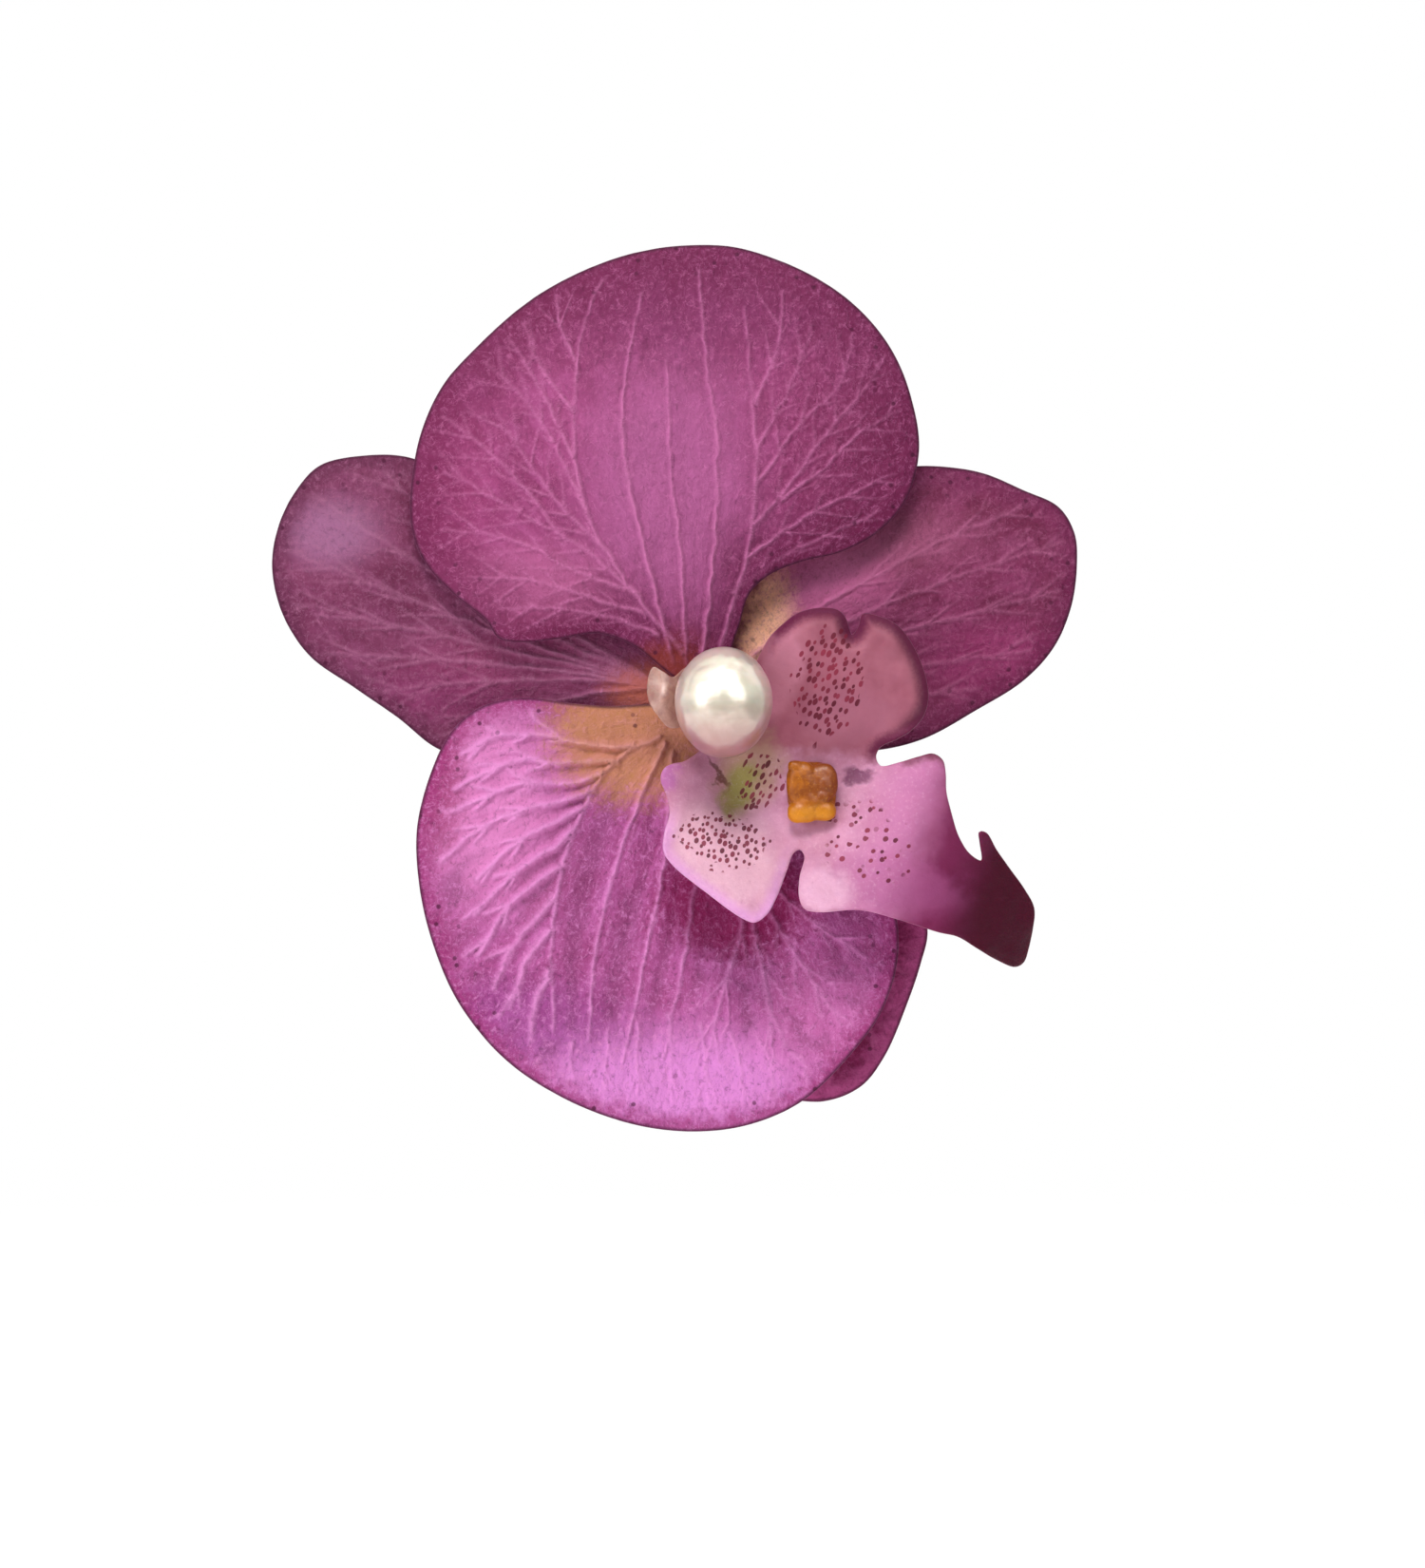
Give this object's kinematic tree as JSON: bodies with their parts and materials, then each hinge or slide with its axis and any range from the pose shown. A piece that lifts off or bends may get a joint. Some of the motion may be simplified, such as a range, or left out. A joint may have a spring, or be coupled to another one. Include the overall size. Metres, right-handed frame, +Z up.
{
  "type": "flower hair clip",
  "caption": "Orchid bloom of pressed petals round a pearl and a three-lobed lip, glued on felt to a sprung metal clip that grips a lock of hair.",
  "frame": {"origin": "between the clip's two jaws, straight behind the middle of the bloom, where the lock of hair is held", "axes": "the bloom faces -Y, +Z runs up along the clip from its mouth to its finger tails, and the hinge axis is along X"},
  "size_m": [0.0822, 0.0299, 0.0895],
  "materials": {
    "petal_fabric": "pressed and veined magenta fabric",
    "sepal_fabric": "pressed and veined deep magenta fabric",
    "lip_fabric": "moulded pink fabric with maroon spots",
    "callus_plastic": "glossy orange",
    "pearl": "cream nacre",
    "glue": "set hot glue",
    "column_plastic": "translucent pinkish white",
    "green_plastic": "moulded green",
    "felt": "dark felt",
    "clip_steel": "bright plated sheet steel",
    "spring_steel": "drawn spring wire"
  },
  "bodies": {
    "bloom_and_front_jaw": {"petal_top": "petal_fabric", "petal_bottom": "petal_fabric", "sepal_left": "sepal_fabric", "sepal_right": "sepal_fabric", "sepal_lower": "sepal_fabric", "lip": "lip_fabric", "callus": "callus_plastic", "pearl": "pearl", "pearl_glue": "glue", "column": "column_plastic", "anther_cap": "column_plastic", "receptacle": "green_plastic", "calyx_collar": "green_plastic", "flower_glue": "glue", "felt_pad": "felt", "clip_glue": "glue", "front_jaw": "clip_steel", "hinge_pin": "clip_steel", "torsion_spring": "spring_steel"},
    "rear_jaw": {"rear_jaw": "clip_steel"}
  },
  "joints": [
    {"name": "jaw_hinge", "type": "hinge", "parent": "bloom_and_front_jaw", "child": "rear_jaw", "pos_m": [0, 0, 0.013], "axis": [1, 0, 0], "range_deg": [0, 28], "stiffness_Nm_per_rad": 0.04, "springref_deg": -34.38, "deforming": ["torsion_spring"]}
  ]
}
